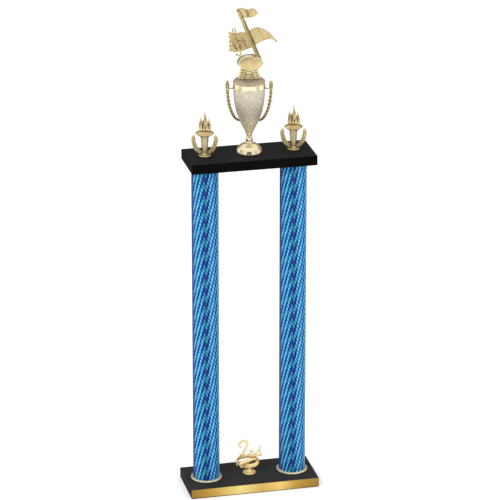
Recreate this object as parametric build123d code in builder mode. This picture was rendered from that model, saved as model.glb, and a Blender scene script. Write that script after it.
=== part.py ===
from build123d import *
import os
from math import cos, radians, sin

# Column trophy. A base board and a deck board are held together by two tie rods that run
# inside foil-covered column tubes. A cup with a music figure stands on the deck, a torch
# is screwed on the end of each tie rod, and a second-place trim stands on the base.
# Millimetres, +Z up, front towards -Y, origin at the centre of the base board's underside.

# ---- driving dimensions ----

board_thickness = 19
base_length = 250
base_depth = 107
deck_length = 238
deck_depth = 95
board_edge_chamfer = 0.6

front_plate_thickness = 0.8
front_plate_height = 17
front_plate_bottom = 1.8

column_x = 84.5
column_diameter = 50.8
column_wall = 2.4
column_length = 628

cap_diameter = 60
cap_thickness = 3
cap_spigot_diameter = 45.2
cap_spigot_height = 8

rod_radius = 3.15
rod_hole_radius = 3.5
thread_bore_radius = 3.2
nut_width = 11.1
nut_height = 5.5
jam_nut_height = 3.2
washer_diameter = 18
washer_thickness = 1.6
nut_pocket_radius = 11
nut_pocket_depth = 9
bolt_head_height = 4.1

# The ornaments are screwed down turned towards a viewer who stands a little to the left.
facing_turn = -13.26

cup_foot_height = 18.9
cup_stem_top = 38.6
cup_band_bottom = 126.4
cup_band_top = 137
cup_band_radius = 30.0
cup_height = 144.4
bowl_wall = 1.9
bowl_rim_radius = 28.8

handle_wire_radius = 2.2
handle_reach = 40.1
handle_foot_reach = 17.5
handle_foot_height = 62.3
handle_bracket_height = 124.5

# ---- heights that follow ----

column_bottom = board_thickness + cap_thickness
deck_bottom = column_bottom + column_length + cap_thickness
deck_top = deck_bottom + board_thickness
washer_bottom = nut_pocket_depth - washer_thickness
nut_bottom = washer_bottom - nut_height
figure_seat = deck_top + cup_height

os.makedirs("parts", exist_ok=True)


def finish(piece, name):
    """Names a finished piece and writes its STEP file."""
    piece.part.label = name
    export_step(piece.part, f"parts/{name}.step")


def upright(x, z, forward=0.0, spin=0.0):
    """Vertical plane at a rod axis that faces the viewer: local x to the right, local y up."""
    angle = radians(facing_turn + spin)
    normal = Vector(sin(angle), -cos(angle), 0)
    return Plane(
        origin=Vector(x, 0, z) + normal * forward,
        x_dir=(cos(angle), sin(angle), 0),
        z_dir=normal,
    )


def level(x, z):
    """Horizontal plane across a rod axis, with local x to the viewer's right."""
    angle = radians(facing_turn)
    return Plane(origin=(x, 0, z), x_dir=(cos(angle), sin(angle), 0), z_dir=(0, 0, 1))


def turned(x, z, outline, bore=rod_hole_radius):
    """Solid of revolution about a rod axis from an outer (radius, height) outline, bored for the rod."""
    bottom = outline[0][1]
    top = outline[-1][1]
    with BuildPart() as piece:
        with BuildSketch(upright(x, z)):
            with BuildLine():
                Polyline((bore, bottom), *outline, (bore, top), close=True)
            make_face()
        revolve(axis=Axis((x, 0, 0), (0, 0, 1)))
    return piece


def rod(x, bottom, top):
    """Plain stand-in for a threaded rod, with chamfered ends."""
    with BuildPart() as piece:
        with BuildSketch(Plane(origin=(x, 0, bottom))):
            Circle(rod_radius)
        extrude(amount=top - bottom)
        chamfer(piece.edges().filter_by(GeomType.CIRCLE), length=0.5)
    return piece


def hex_nut(x, bottom, height):
    """Hexagon nut about a rod axis."""
    with BuildPart() as piece:
        with BuildSketch(level(x, bottom)):
            RegularPolygon(radius=nut_width / 2, side_count=6, major_radius=False)
            Circle(thread_bore_radius, mode=Mode.SUBTRACT)
        extrude(amount=height)
    return piece


def washer(x, bottom):
    """Flat washer about a rod axis."""
    with BuildPart() as piece:
        with BuildSketch(Plane(origin=(x, 0, bottom))):
            Circle(washer_diameter / 2)
            Circle(rod_hole_radius, mode=Mode.SUBTRACT)
        extrude(amount=washer_thickness)
    return piece


def curved_sheet(x, z, plan, outline, thickness, height):
    """Sheet that follows a plan curve (right, back) and is cut to an outline (right, up)."""
    with BuildPart() as sheet:
        with BuildSketch(level(x, z)):
            trace(plan.edges(), line_width=thickness)
        extrude(amount=height)
        with BuildSketch(upright(x, z)):
            with BuildLine():
                Polyline(*outline, close=True)
            make_face()
        extrude(amount=height, both=True, mode=Mode.INTERSECT)
    return sheet


# ---- base board and what is fixed to it ----

with BuildPart() as base_board:
    Box(base_length, base_depth, board_thickness, align=(Align.CENTER, Align.CENTER, Align.MIN))
    chamfer(base_board.edges(), length=board_edge_chamfer)
    with Locations(Plane(origin=(0, 0, 0), z_dir=(0, 0, -1))):
        with GridLocations(column_x, 1, 3, 1):
            CounterBoreHole(rod_hole_radius, nut_pocket_radius, nut_pocket_depth)
finish(base_board, "base_board")

with BuildPart() as front_trim_plate:
    with BuildSketch(Plane.XZ.offset(base_depth / 2)):
        with Locations((0, front_plate_bottom + front_plate_height / 2)):
            RectangleRounded(base_length, front_plate_height, radius=1)
    extrude(amount=front_plate_thickness)
finish(front_trim_plate, "front_trim_plate")

with BuildPart() as tie_rod_washers:
    with BuildSketch(Plane.XY.offset(washer_bottom)):
        with GridLocations(2 * column_x, 1, 2, 1):
            Circle(washer_diameter / 2)
            Circle(rod_hole_radius, mode=Mode.SUBTRACT)
    extrude(amount=washer_thickness)
finish(tie_rod_washers, "tie_rod_washers")

with BuildPart() as tie_rod_nuts:
    with BuildSketch(Plane.XY.offset(nut_bottom)):
        with GridLocations(2 * column_x, 1, 2, 1):
            RegularPolygon(radius=nut_width / 2, side_count=6, major_radius=False)
            Circle(thread_bore_radius, mode=Mode.SUBTRACT)
    extrude(amount=nut_height)
finish(tie_rod_nuts, "tie_rod_nuts")

# ---- columns ----


def column_cap(x, z, towards_tube):
    """Round check ring between a board and a tube, with a spigot that centres the tube."""
    seat = Plane(origin=(x, 0, z), z_dir=(0, 0, towards_tube))
    with BuildPart() as cap:
        with BuildSketch(seat):
            Circle(cap_diameter / 2)
        extrude(amount=cap_thickness)
        fillet(cap.edges().filter_by(GeomType.CIRCLE), radius=1)
        with BuildSketch(seat.offset(cap_thickness)):
            Circle(cap_spigot_diameter / 2)
        extrude(amount=cap_spigot_height)
        with Locations(seat):
            Hole(rod_hole_radius)
    return cap


def column_tube(x):
    """Round tube that stands on the lower cap and carries the upper one."""
    with BuildPart() as tube:
        with BuildSketch(Plane(origin=(x, 0, column_bottom))):
            Circle(column_diameter / 2)
            Circle(column_diameter / 2 - column_wall, mode=Mode.SUBTRACT)
        extrude(amount=column_length)
    return tube


tie_rod_bottom = 1
tie_rod_top = deck_top + 7
for side, x in (("left", -column_x), ("right", column_x)):
    finish(column_cap(x, board_thickness, 1), f"{side}_lower_column_cap")
    finish(column_tube(x), f"{side}_column_tube")
    finish(column_cap(x, deck_bottom, -1), f"{side}_upper_column_cap")
    finish(rod(x, tie_rod_bottom, tie_rod_top), f"{side}_tie_rod")

# ---- deck board and the rod that holds the cup and figure ----

with BuildPart() as deck_board:
    with BuildSketch(Plane.XY.offset(deck_bottom)):
        Rectangle(deck_length, deck_depth)
    extrude(amount=board_thickness)
    chamfer(deck_board.edges(), length=board_edge_chamfer)
    with Locations(Plane(origin=(0, 0, deck_bottom), z_dir=(0, 0, -1))):
        CounterBoreHole(rod_hole_radius, nut_pocket_radius, nut_pocket_depth)
        with GridLocations(2 * column_x, 1, 2, 1):
            Hole(rod_hole_radius)
finish(deck_board, "deck_board")

finish(rod(0, deck_bottom + tie_rod_bottom, figure_seat + 9), "cup_rod")
finish(washer(0, deck_bottom + washer_bottom), "cup_rod_washer")
finish(hex_nut(0, deck_bottom + nut_bottom, nut_height), "cup_rod_nut")

# ---- cup ----

finish(
    turned(
        0,
        deck_top,
        [
            (24.5, 0),
            (24.5, 2.2),
            (23.2, 3.0),
            (22.9, 6.4),
            (21.6, 7.6),
            (20.2, 8.4),
            (19.7, 10.9),
            (18.2, 12.2),
            (15.2, 15.4),
            (11.0, 17.6),
            (8.6, cup_foot_height),
        ],
    ),
    "cup_foot",
)

finish(
    turned(
        0,
        deck_top,
        [
            (7.7, cup_foot_height),
            (7.7, 21.7),
            (5.6, 22.6),
            (6.7, 26.2),
            (6.6, 29.5),
            (5.2, 33.6),
            (5.4, 35.4),
            (6.8, 36.4),
            (6.8, cup_stem_top),
        ],
    ),
    "cup_stem",
)

bowl_side = [(6.5, cup_stem_top), (11.4, 48.7), (17.5, 61.0), (24.5, 82.2), (28.3, 104.5)]
bowl_shoulder_radius = 29.6
bowl_floor_height = 42.5

with BuildPart() as cup_bowl:
    with BuildSketch(upright(0, deck_top)):
        with BuildLine():
            Spline(*bowl_side, (bowl_shoulder_radius, cup_band_bottom))
            Polyline(
                (bowl_shoulder_radius, cup_band_bottom),
                (bowl_rim_radius, cup_band_bottom),
                (bowl_rim_radius, cup_band_top),
                (bowl_rim_radius - bowl_wall + 0.5, cup_band_top),
                (bowl_shoulder_radius - bowl_wall, cup_band_bottom),
            )
            Spline(
                (bowl_shoulder_radius - bowl_wall, cup_band_bottom),
                *[(r - bowl_wall, h) for r, h in reversed(bowl_side[1:])],
                (6.2, bowl_floor_height),
            )
            Polyline(
                (6.2, bowl_floor_height),
                (rod_hole_radius, bowl_floor_height),
                (rod_hole_radius, cup_stem_top),
                bowl_side[0],
            )
        make_face()
    revolve(axis=Axis.Z)
finish(cup_bowl, "cup_bowl")

band_inner_radius = bowl_rim_radius + 0.3
finish(
    turned(
        0,
        deck_top,
        [
            (cup_band_radius - 0.4, cup_band_bottom),
            (cup_band_radius, cup_band_bottom + 0.4),
            (cup_band_radius, cup_band_top - 0.4),
            (cup_band_radius - 0.4, cup_band_top),
        ],
        bore=band_inner_radius,
    ),
    "cup_rim_band",
)

lid_edge_radius = 30.4
lid_seat_radius = 21.5
lid_lip_radius = bowl_rim_radius - bowl_wall + 0.2
with BuildPart() as cup_lid:
    with BuildSketch(upright(0, deck_top)):
        with BuildLine():
            Polyline(
                (rod_hole_radius, cup_height),
                (lid_seat_radius, cup_height),
                (24.5, 143.4),
                (29.4, 140.4),
                (lid_edge_radius, 139.4),
                (lid_edge_radius, cup_band_top),
                (lid_lip_radius, cup_band_top),
                (lid_lip_radius, cup_band_top - 2.5),
                (lid_lip_radius - 1.8, cup_band_top - 2.5),
                (lid_lip_radius - 2.2, 138.0),
                (20.0, cup_height - 3),
                (rod_hole_radius, cup_height - 3),
                close=True,
            )
        make_face()
    revolve(axis=Axis.Z)
finish(cup_lid, "cup_lid")

# Space taken by the bowl and its band, a hair larger, which the handles are cut back to.
handle_fit = 0.05
with BuildPart() as cup_envelope:
    with BuildSketch(upright(0, deck_top)):
        with BuildLine():
            Spline(
                *[(r + handle_fit, h) for r, h in bowl_side],
                (bowl_shoulder_radius + handle_fit, cup_band_bottom),
            )
            Polyline(
                (bowl_shoulder_radius + handle_fit, cup_band_bottom),
                (cup_band_radius + handle_fit, cup_band_bottom),
                (cup_band_radius + handle_fit, cup_band_top),
                (0, cup_band_top),
                (0, cup_stem_top),
                (bowl_side[0][0] + handle_fit, cup_stem_top),
            )
        make_face()
    revolve(axis=Axis.Z)


def cup_handle(side):
    """Ear handle: a rising quarter ellipse, a leaf at its top and a bracket pin to the rim band."""
    with BuildPart() as handle:
        with BuildLine(upright(0, deck_top)) as wire:
            EllipticalCenterArc(
                (side * (handle_foot_reach - 3), handle_bracket_height),
                handle_reach - handle_foot_reach + 3,
                handle_bracket_height - handle_foot_height,
                start_angle=270,
                arc_size=side * 90,
            )
        with BuildSketch(Plane(origin=wire.line @ 0, z_dir=wire.line % 0)):
            Circle(handle_wire_radius)
        sweep()
        with BuildSketch(upright(0, deck_top)):
            with BuildLine():
                Spline(
                    (side * (handle_reach - 2.2), handle_bracket_height - 3),
                    (side * (handle_reach - 3.4), handle_bracket_height + 5),
                    (side * (handle_reach - 2.6), handle_bracket_height + 12),
                    (side * handle_reach, handle_bracket_height + 17),
                )
                Spline(
                    (side * handle_reach, handle_bracket_height + 17),
                    (side * (handle_reach + 3.0), handle_bracket_height + 10),
                    (side * (handle_reach + 3.2), handle_bracket_height + 3),
                    (side * (handle_reach + 2.2), handle_bracket_height - 3),
                )
                Line(
                    (side * (handle_reach + 2.2), handle_bracket_height - 3),
                    (side * (handle_reach - 2.2), handle_bracket_height - 3),
                )
            make_face()
        extrude(amount=2.4, both=True)
        with BuildSketch(upright(0, deck_top + handle_bracket_height, spin=side * 90)):
            Circle(1.4)
        extrude(amount=handle_reach - 1)
        add(cup_envelope.part, mode=Mode.SUBTRACT)
    return handle


finish(cup_handle(-1), "cup_handle_left")
finish(cup_handle(1), "cup_handle_right")

# ---- music figure ----

figure_insert_height = nut_height
pedestal_top = 16.4

with BuildPart() as figure_pedestal:
    with BuildSketch(level(0, figure_seat)):
        Rectangle(41, 18)
        chamfer(vertices(), length=4)
    with BuildSketch(level(0, figure_seat + pedestal_top)):
        Rectangle(31, 15)
        chamfer(vertices(), length=3)
    loft()
    with BuildSketch(level(0, figure_seat)):
        RegularPolygon(radius=nut_width / 2, side_count=6, major_radius=False)
    extrude(amount=figure_insert_height, mode=Mode.SUBTRACT)
    with BuildSketch(level(0, figure_seat)):
        Circle(rod_hole_radius)
    extrude(amount=10, mode=Mode.SUBTRACT)
finish(figure_pedestal, "figure_pedestal")
finish(hex_nut(0, figure_seat, figure_insert_height), "figure_insert")

# Outlines of the figure, as (right, up) from its seat on the cup's lid.
head_centre = (1.4, 29.9)
head_half_length = 23.1
head_half_height = 14.6
head_depth = 18
head_spin = 10
stem_foot = (20.2, 31.7)
stem_head = (-19.8, 129.7)
stem_width = 7
sheet_thickness = 2.4

with BuildPart() as music_note:
    with BuildSketch(upright(0, figure_seat, spin=head_spin)):
        with Locations(head_centre):
            Ellipse(head_half_length, head_half_height)
    extrude(amount=head_depth / 2, both=True)
    fillet(music_note.edges(), radius=1.5)
    with BuildSketch(level(0, figure_seat)):
        Rectangle(60, 60)
    extrude(amount=pedestal_top, mode=Mode.SUBTRACT)
    with BuildSketch(upright(0, figure_seat)):
        with BuildLine():
            Line(stem_foot, stem_head)
        trace(line_width=stem_width)
    extrude(amount=stem_width / 2, both=True)

with BuildLine() as flag_plan:
    Spline((-24, 0), (-14, -1.2), (-3, 1.6), (8, -1.4), (18.4, 0.5))
flag = curved_sheet(
    0,
    figure_seat,
    flag_plan,
    [
        (-23.4, 130.3),
        (-16, 134.3),
        (-3, 131.5),
        (8, 133.3),
        (17.2, 124.2),
        (9, 117.6),
        (-2, 116.2),
        (-14, 114.2),
    ],
    3,
    140,
)
with music_note:
    add(flag.part)
finish(music_note, "music_note")

# The scroll's middle is flat against the back of the stem; both ends curl away backwards.
scroll_middle = stem_width / 2 + sheet_thickness / 2
with BuildLine() as scroll_plan:
    Line((-30, scroll_middle), (22, scroll_middle))
    TangentArc((-30, scroll_middle), (-40, scroll_middle + 2.5), tangent=(-1, 0))
    TangentArc((22, scroll_middle), (54, scroll_middle + 7.5), tangent=(1, 0))
sheet_music_scroll = curved_sheet(
    0,
    figure_seat,
    scroll_plan,
    [
        (-37.8, 86.2),
        (-24, 84.5),
        (-16, 87),
        (-8, 86),
        (12.8, 95.9),
        (26.3, 92.6),
        (37.4, 84.8),
        (52.2, 66.6),
        (51.2, 64.8),
        (42, 72),
        (35.3, 73.3),
        (22.2, 69),
        (5, 58.4),
        (-12.2, 51.5),
        (-24.5, 49),
        (-36.4, 50.4),
    ],
    sheet_thickness,
    110,
)
finish(sheet_music_scroll, "sheet_music_scroll")

clef_depth = 3.5
clef_line = 3.4
with BuildPart() as treble_clef:
    with BuildSketch(upright(0, figure_seat, forward=-stem_width / 2)):
        with BuildLine():
            Spline(
                (-20.3, 62.2),
                (-21.3, 66.3),
                (-17.6, 68.7),
                (-12.8, 66.1),
                (-11.6, 59.1),
                (-15.3, 53.4),
                (-22.3, 52.3),
                (-29.3, 57.7),
                (-32.2, 66.7),
                (-30.3, 74.1),
                (-26.3, 81.1),
                (-24.7, 87.1),
                (-26.4, 93.1),
                (-29, 94.6),
            )
        trace(line_width=clef_line)
        with BuildLine():
            Spline(
                (-29, 94.6),
                (-30.2, 90.1),
                (-27.8, 79.6),
                (-23.3, 66.6),
                (-18.3, 54.6),
                (-15.4, 47.4),
                (-16.4, 43.4),
                (-19.4, 42.2),
                (-22.8, 43.8),
            )
        trace(line_width=clef_line)
        with Locations((-23, 44.6)):
            Circle(2.4)
    extrude(amount=clef_depth)
finish(treble_clef, "treble_clef")

# ---- torches ----

torch_dish_height = 39.5
torch_flame_height = 49
branch_rise = 27
branch_reach = 15.6


def torch(x):
    """Torch with a round foot, tapered body, dish, flame and a laurel branch on each side."""
    with BuildPart() as piece:
        with BuildSketch(upright(x, deck_top)):
            with BuildLine():
                Polyline(
                    (0, 0),
                    (11.2, 0),
                    (11.2, 2.4),
                    (10.2, 3.4),
                    (7.6, 4.2),
                    (5.2, 6.4),
                    (4.9, 9),
                    (5.3, 12),
                    (7.8, 37.4),
                    (9.6, torch_dish_height),
                    (14.6, 42.0),
                    (16.7, 44.8),
                    (16.2, 46.2),
                    (12.4, 47.8),
                    (9.3, torch_flame_height),
                )
                Spline(
                    (9.3, torch_flame_height),
                    (10.8, 55),
                    (8.4, 64),
                    (5.0, 74),
                    (1.6, 83),
                    (0, 88),
                )
                Line((0, 88), (0, 0))
            make_face()
        revolve(axis=Axis((x, 0, 0), (0, 0, 1)))
        for side in (-1, 1):
            with BuildLine(upright(x, deck_top)) as stalk:
                EllipticalCenterArc(
                    (side * 5, 9 + branch_rise),
                    branch_reach,
                    branch_rise,
                    start_angle=270,
                    arc_size=side * 90,
                )
            with BuildSketch(Plane(origin=stalk.line @ 0, z_dir=stalk.line % 0)):
                Circle(2)
            sweep()
            with BuildSketch(upright(x, deck_top)):
                with BuildLine():
                    Polyline(
                        (side * 15.2, 25),
                        (side * 16.8, 34),
                        (side * 18, 40),
                        (side * 20.4, 43),
                        (side * 23.4, 39.5),
                        (side * 24.3, 35.5),
                        (side * 22.2, 29),
                        (side * 19.5, 23),
                        close=True,
                    )
                make_face()
            extrude(amount=2, both=True)
        for lean, top in ((-9, 67), (-7, 79), (6.8, 76)):
            with BuildSketch(level(x, deck_top + torch_flame_height + 6)):
                with Locations((lean * 0.6, 0)):
                    Circle(4.6)
            with BuildSketch(level(x, deck_top + top)):
                with Locations((lean, 0)):
                    Circle(0.8)
            loft()
        with BuildSketch(level(x, deck_top)):
            RegularPolygon(radius=nut_width / 2, side_count=6, major_radius=False)
        extrude(amount=jam_nut_height, mode=Mode.SUBTRACT)
        with BuildSketch(level(x, deck_top)):
            Circle(rod_hole_radius)
        extrude(amount=8, mode=Mode.SUBTRACT)
    return piece


for side, x in (("left", -column_x), ("right", column_x)):
    finish(torch(x), f"torch_{side}")
    finish(hex_nut(x, deck_top, jam_nut_height), f"torch_{side}_insert")

# ---- place trim on the base ----

trim_neck_height = 11.5
ribbon_depth = 5
numeral_depth = 3

with BuildPart() as place_trim_foot:
    with BuildSketch(upright(0, board_thickness)):
        with BuildLine():
            Polyline(
                (0, 0),
                (12.6, 0),
                (12.6, 2.2),
                (11.4, 3.4),
                (8.4, 3.8),
                (6.2, 5.6),
                (4.0, 8.0),
                (4.2, trim_neck_height),
                (0, trim_neck_height),
                close=True,
            )
        make_face()
    revolve(axis=Axis.Z)
    with BuildSketch(level(0, board_thickness)):
        RegularPolygon(radius=nut_width / 2, side_count=6, major_radius=False)
    extrude(amount=jam_nut_height, mode=Mode.SUBTRACT)
    with BuildSketch(level(0, board_thickness)):
        Circle(rod_hole_radius)
    extrude(amount=7, mode=Mode.SUBTRACT)
finish(place_trim_foot, "place_trim_foot")
finish(hex_nut(0, board_thickness, jam_nut_height), "place_trim_insert")

# Generic script numeral with a small ordinal ending, all strokes on one baseline.
with BuildPart() as place_trim_numeral:
    with BuildSketch(upright(0, board_thickness)):
        with BuildLine():
            Spline(
                (-17, 54),
                (-19.4, 57),
                (-17.6, 62),
                (-13.4, 65.6),
                (-8.2, 67),
                (-4.6, 65),
                (-3.4, 60.8),
                (-5.2, 54.2),
                (-9.4, 46),
                (-14.4, 38),
                (-19.4, 33.8),
            )
        trace(line_width=4)
        with BuildLine():
            Spline((-14.6, 36.6), (-8.6, 37.8), (-1.4, 36.2), (8, 35.6), (24, 37))
        trace(line_width=3.6)
        with BuildLine():
            Line((2.4, 36.5), (2.4, 46.2))
            Line((8.2, 36.5), (8.2, 43.2))
            ThreePointArc((2.4, 42.8), (5.4, 45.6), (8.2, 42.8))
        trace(line_width=2.8)
        with BuildLine():
            Line((20, 36.8), (20, 56.6))
            Spline((20, 48), (15.4, 45.4), (12.8, 41.4), (12.6, 37))
        trace(line_width=3)
        with Locations((-16.6, 54.2)):
            Circle(2.3)
    extrude(amount=numeral_depth / 2, both=True)
finish(place_trim_numeral, "place_trim_numeral")

# Folded ribbon in one outline: a fishtail at the lower left, a loop at the right, two openings.
with BuildPart() as place_trim_ribbon:
    with BuildSketch(upright(0, board_thickness)):
        with BuildLine():
            Polyline(
                (-17.1, 9.8),
                (-20.6, 15.2),
                (-23.5, 14.3),
                (-25.1, 21.7),
                (-24.8, 27.6),
                (-21.8, 32),
                (-17.4, 33.8),
                (13.6, 33.8),
            )
            Spline(
                (13.6, 33.8),
                (18.4, 27),
                (17.9, 20),
                (13.8, 15.2),
                (7.7, 12.4),
                (-0.3, 11.2),
                (-8.3, 11.4),
                (-13.6, 12),
            )
            Line((-13.6, 12), (-17.1, 9.8))
        make_face()
        with BuildLine():
            Polyline(
                (-20, 26.4),
                (-13.6, 28.4),
                (-6.2, 30),
                (-5.1, 29),
                (-9.4, 27.1),
                (-13.6, 24.8),
                (-19, 22.6),
                close=True,
            )
        make_face(mode=Mode.SUBTRACT)
        with BuildLine():
            Polyline(
                (-3.2, 18.5),
                (1.3, 21.7),
                (7.7, 25.1),
                (12, 25.9),
                (12.8, 24),
                (11.2, 21.7),
                (7.7, 19.9),
                (2.4, 18.7),
                close=True,
            )
        make_face(mode=Mode.SUBTRACT)
    extrude(amount=ribbon_depth / 2, both=True)
    add(place_trim_numeral.part, mode=Mode.SUBTRACT)
    with BuildSketch(level(0, board_thickness)):
        Circle(5)
    extrude(amount=trim_neck_height, mode=Mode.SUBTRACT)
finish(place_trim_ribbon, "place_trim_ribbon")

with BuildPart() as place_trim_bolt:
    with BuildSketch(Plane.XY.offset(washer_bottom - bolt_head_height)):
        RegularPolygon(radius=nut_width / 2, side_count=6, major_radius=False)
    extrude(amount=bolt_head_height)
    with BuildSketch(Plane.XY.offset(washer_bottom)):
        Circle(rod_radius)
    extrude(amount=board_thickness + 6 - washer_bottom)
finish(place_trim_bolt, "place_trim_bolt")
finish(washer(0, washer_bottom), "place_trim_washer")
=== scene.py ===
import math

import bmesh
import bpy
from mathutils import Matrix, Vector


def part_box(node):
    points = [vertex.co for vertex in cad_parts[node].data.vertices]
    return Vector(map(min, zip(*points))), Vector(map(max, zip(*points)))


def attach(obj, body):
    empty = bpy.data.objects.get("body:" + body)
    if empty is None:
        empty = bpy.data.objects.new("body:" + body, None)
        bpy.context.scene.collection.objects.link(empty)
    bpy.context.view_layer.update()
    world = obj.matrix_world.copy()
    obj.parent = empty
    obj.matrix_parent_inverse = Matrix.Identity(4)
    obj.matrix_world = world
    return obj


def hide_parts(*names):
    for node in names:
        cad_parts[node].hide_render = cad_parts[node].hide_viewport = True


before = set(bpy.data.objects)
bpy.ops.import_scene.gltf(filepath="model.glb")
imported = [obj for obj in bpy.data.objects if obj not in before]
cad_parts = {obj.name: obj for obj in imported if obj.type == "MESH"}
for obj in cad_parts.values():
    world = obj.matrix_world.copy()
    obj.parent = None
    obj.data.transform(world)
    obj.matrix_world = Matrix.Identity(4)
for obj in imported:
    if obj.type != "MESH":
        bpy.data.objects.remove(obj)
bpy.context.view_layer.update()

# ---- places and sizes, in millimetres unless a name says otherwise ----

MM = 0.001
FACING_TURN = math.radians(-13.26)  # the ornaments are screwed down turned towards the viewer
DECK_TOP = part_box("deck_board")[1].z / MM
BASE_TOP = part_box("base_board")[1].z / MM
FIGURE_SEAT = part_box("figure_insert")[0].z / MM
TUBE_LOW, TUBE_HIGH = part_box("left_column_tube")
COLUMN_RADIUS = (TUBE_HIGH.x - TUBE_LOW.x) / 2 / MM
COLUMN_HEIGHT = (TUBE_HIGH.z - TUBE_LOW.z) / MM
TUBE_WALL = 2.4
ROD_RADIUS = 3.5
CORNERS = ((-1, -1), (1, -1), (1, 1), (-1, 1))


def axis_x(node):
    """Where a round node's axis stands along X, in millimetres."""
    low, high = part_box(node)
    return (low.x + high.x) / 2 / MM


def facing(x, z, turn=FACING_TURN):
    """Matrix from a piece's own millimetres (right, back, up) to the row frame."""
    place = Matrix.Translation((x * MM, 0, z * MM))
    return place @ Matrix.Rotation(turn, 4, "Z") @ Matrix.Scale(MM, 4)


# ---- mesh helpers: a shape is a (points, faces) pair, and every one is closed ----


def lathe(outline, segments=96, wobble=None):
    """Closed turned shape from (radius, height) points; wobble(angle, r, h) may change a point."""
    points, faces, rings = [], [], []
    for r, h in outline:
        if r < 1e-6:
            rings.append([len(points)])
            points.append(Vector((0, 0, h)))
            continue
        ring = []
        for k in range(segments):
            angle = 2 * math.pi * k / segments
            rr, hh = wobble(angle, r, h) if wobble else (r, h)
            ring.append(len(points))
            points.append(Vector((rr * math.cos(angle), rr * math.sin(angle), hh)))
        rings.append(ring)
    if outline[0][0] > 1e-6 and outline[-1][0] > 1e-6:
        rings.append(rings[0])
    for a, b in zip(rings, rings[1:]):
        for k in range(segments):
            n = (k + 1) % segments
            if len(a) == 1:
                faces.append((a[0], b[n], b[k]))
            elif len(b) == 1:
                faces.append((a[k], a[n], b[0]))
            else:
                faces.append((a[k], a[n], b[n], b[k]))
    return points, faces


def smooth_path(points, samples):
    """Catmull-Rom curve through the points."""
    pts = [Vector(p) for p in points]
    pts = [pts[0] * 2 - pts[1]] + pts + [pts[-1] * 2 - pts[-2]]
    spans = len(pts) - 3
    out = []
    for s in range(samples + 1):
        f = s / samples * spans
        i = min(int(f), spans - 1)
        t = f - i
        a, b, c, d = pts[i : i + 4]
        square = (a * 2 - b * 5 + c * 4 - d) * t * t
        cube = (b * 3 - a - c * 3 + d) * t ** 3
        out.append((b * 2 + (c - a) * t + square + cube) / 2)
    return out


def skin(points, sides):
    """Closed shape from points that follow each other in rings of so many sides."""
    faces = []
    for a in range(0, len(points) - sides, sides):
        for k in range(sides):
            n = (k + 1) % sides
            faces.append((a + k, a + n, a + sides + n, a + sides + k))
    faces.append(tuple(reversed(range(sides))))
    faces.append(tuple(range(len(points) - sides, len(points))))
    return points, faces


def tube(path, radius, sides=16, flat=1.0, side_hint=(0, 1, 0), wobble=None):
    """Closed tube along a path. radius(t) is the half width; flat scales it along side_hint."""
    hint = Vector(side_hint)
    points = []
    count = len(path)
    for i, p in enumerate(path):
        t = i / (count - 1)
        ahead = path[min(i + 1, count - 1)] - path[max(i - 1, 0)]
        ahead.normalize()
        across = ahead.cross(hint).normalized()
        depth = across.cross(ahead).normalized()
        for k in range(sides):
            angle = 2 * math.pi * k / sides
            r = radius(t) if callable(radius) else radius
            if wobble:
                r *= wobble(t, angle)
            points.append(p + across * (r * math.cos(angle)) + depth * (r * flat * math.sin(angle)))
    return skin(points, sides)


def ball(centre, radii, rings=10, segments=16):
    """Ellipsoid."""
    outline = [
        (math.sin(math.pi * k / rings), -math.cos(math.pi * k / rings)) for k in range(rings + 1)
    ]
    outline[0], outline[-1] = (0, -1), (0, 1)
    points, faces = lathe(outline, segments)
    centre = Vector(centre)
    return [centre + Vector((p.x * radii[0], p.y * radii[1], p.z * radii[2])) for p in points], faces


def leaf(root, tip, width, thick, lift=(0, -1, 0)):
    """Pointed leaf: a flattened tube from root to tip with a slight outward bow."""
    root, tip, lift = Vector(root), Vector(tip), Vector(lift)
    path = []
    for t in [k / 8 for k in range(9)]:
        path.append(root.lerp(tip, t) + lift * (math.sin(math.pi * t) * thick * 0.5))

    def half_width(t):
        return max(0.12, width / 2 * (math.sin(math.pi * min(1, t * 0.92 + 0.08)) ** 0.8))

    return tube(path, half_width, sides=10, flat=thick / width, side_hint=lift)


def in_plane(points, samples, back=0.0):
    """Smooth curve through (right, up) points, standing in a vertical plane."""
    return [Vector((p.x, back, p.y)) for p in smooth_path(points, samples)]


def sheet(top, bottom, plan, up_steps, thick, relief=None):
    """Closed curved sheet between two equally long lists of (right, up) points.

    plan(right, v) gives how far back the sheet stands, and relief(u, v) raises its front face.
    """
    steps = len(top) - 1
    points, faces = [], []
    for face in (-1, 1):
        for i, (high, low) in enumerate(zip(top, bottom)):
            for j in range(up_steps + 1):
                v = j / up_steps
                spot = low.lerp(high, v)
                back = plan(spot.x, v) + face * thick / 2
                if relief and face < 0:
                    back -= relief(i / steps, v)
                points.append(Vector((spot.x, back, spot.y)))
    per = (steps + 1) * (up_steps + 1)

    def at(face, i, j):
        return face * per + i * (up_steps + 1) + j

    for i in range(steps):
        for j in range(up_steps):
            faces.append((at(0, i, j), at(0, i + 1, j), at(0, i + 1, j + 1), at(0, i, j + 1)))
            faces.append((at(1, i, j), at(1, i, j + 1), at(1, i + 1, j + 1), at(1, i + 1, j)))
        for j in (0, up_steps):
            faces.append((at(0, i, j), at(1, i, j), at(1, i + 1, j), at(0, i + 1, j)))
    for j in range(up_steps):
        for i in (0, steps):
            faces.append((at(0, i, j), at(0, i, j + 1), at(1, i, j + 1), at(1, i, j)))
    return points, faces


def moved(shape, matrix):
    """The shape after a matrix."""
    points, faces = shape
    return [matrix @ p for p in points], faces


def new_object(name, data):
    """Adds an object to the scene."""
    made = bpy.data.objects.new(name, data)
    bpy.context.scene.collection.objects.link(made)
    return made


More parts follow.
